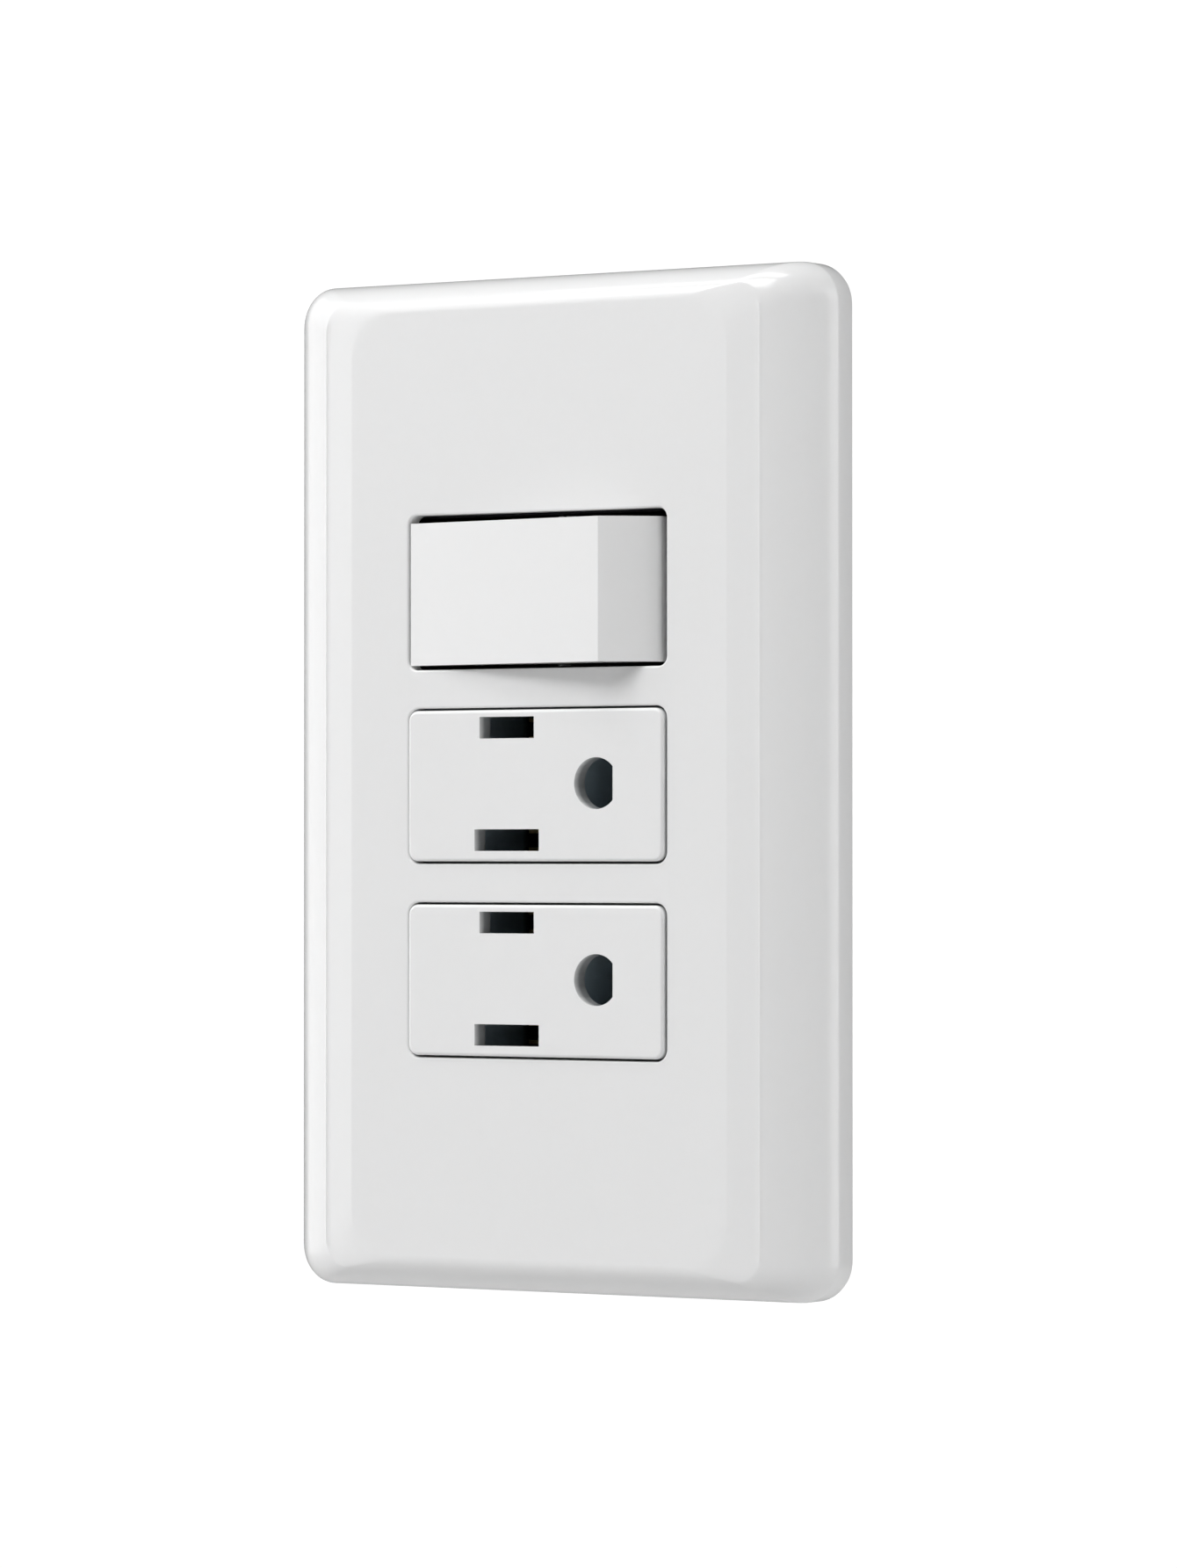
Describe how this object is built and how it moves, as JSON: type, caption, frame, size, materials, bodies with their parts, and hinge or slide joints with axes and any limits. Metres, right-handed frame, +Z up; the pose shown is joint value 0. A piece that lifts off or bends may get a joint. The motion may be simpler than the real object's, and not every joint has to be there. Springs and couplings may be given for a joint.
{
  "type": "switch and outlet wall plate",
  "caption": "Clip-on wall plate with a rocker switch above grounded outlets, on a steel mounting frame with side-wired modules.",
  "frame": {"origin": "midway between the two wall screws, on the wall plane", "axes": "+X right, +Y into the wall, +Z up; the face looks along -Y"},
  "size_m": [0.072, 0.0344, 0.1152],
  "materials": {
    "plate_plastic": "smooth gloss moulding",
    "key_plastic": "smooth gloss moulding",
    "face_plastic": "smooth gloss moulding",
    "frame_plastic": "satin moulding",
    "housing_plastic": "matt dark moulding",
    "strap_steel": "zinc plated sheet",
    "screw_steel": "zinc plated",
    "brass": "rolled sheet",
    "hot_screw": "turned",
    "neutral_screw": "nickel plated",
    "ground_screw": "green dyed",
    "silver": "silver contact",
    "pin_steel": "bright drawn",
    "spring_steel": "drawn wire"
  },
  "bodies": {
    "base": {"cover_plate": "plate_plastic", "mounting_frame": "strap_steel", "mounting_screws": "screw_steel", "switch_frame": "frame_plastic", "switch_housing": "housing_plastic", "key_pivot_pin": "pin_steel", "common_terminal": "brass", "switched_terminal": "brass", "fixed_contact_tip": "silver", "switch_terminal_screws": "hot_screw", "hot_terminal_screws": "hot_screw", "neutral_terminal_screws": "neutral_screw", "ground_terminal_screws": "ground_screw", "terminal_clamps": "screw_steel", "assembly_screws": "screw_steel", "upper_outlet_face": "face_plastic", "upper_outlet_body": "housing_plastic", "upper_hot_contact": "brass", "upper_neutral_contact": "brass", "upper_ground_contact": "brass", "lower_outlet_face": "face_plastic", "lower_outlet_body": "housing_plastic", "lower_hot_contact": "brass", "lower_neutral_contact": "brass", "lower_ground_contact": "brass"},
    "rocker_key": {"rocker_key": "key_plastic", "key_spring": "spring_steel"},
    "plunger": {"key_plunger": "pin_steel"},
    "seesaw": {"moving_contact": "brass", "moving_contact_tip": "silver"}
  },
  "joints": [
    {"name": "key_rock", "type": "hinge", "parent": "base", "child": "rocker_key", "pos_m": [0, -0.0025, 0.02155], "axis": [0, 0, 1], "range_deg": [0, 9]},
    {"name": "plunger_slide", "type": "slide", "parent": "rocker_key", "child": "plunger", "axis": [-0.0785, -0.9969, 0], "range_m": [0, 0.0005], "stiffness_N_per_m": 250, "deforming": ["key_spring"]},
    {"name": "seesaw_tilt", "type": "hinge", "parent": "base", "child": "seesaw", "pos_m": [0, 0.008, 0.02175], "axis": [0, 0, 1], "range_deg": [-10.8, 0]}
  ],
  "couplings": [
    {"joint": "seesaw_tilt", "follows": "key_rock", "ratio": -1.2}
  ]
}
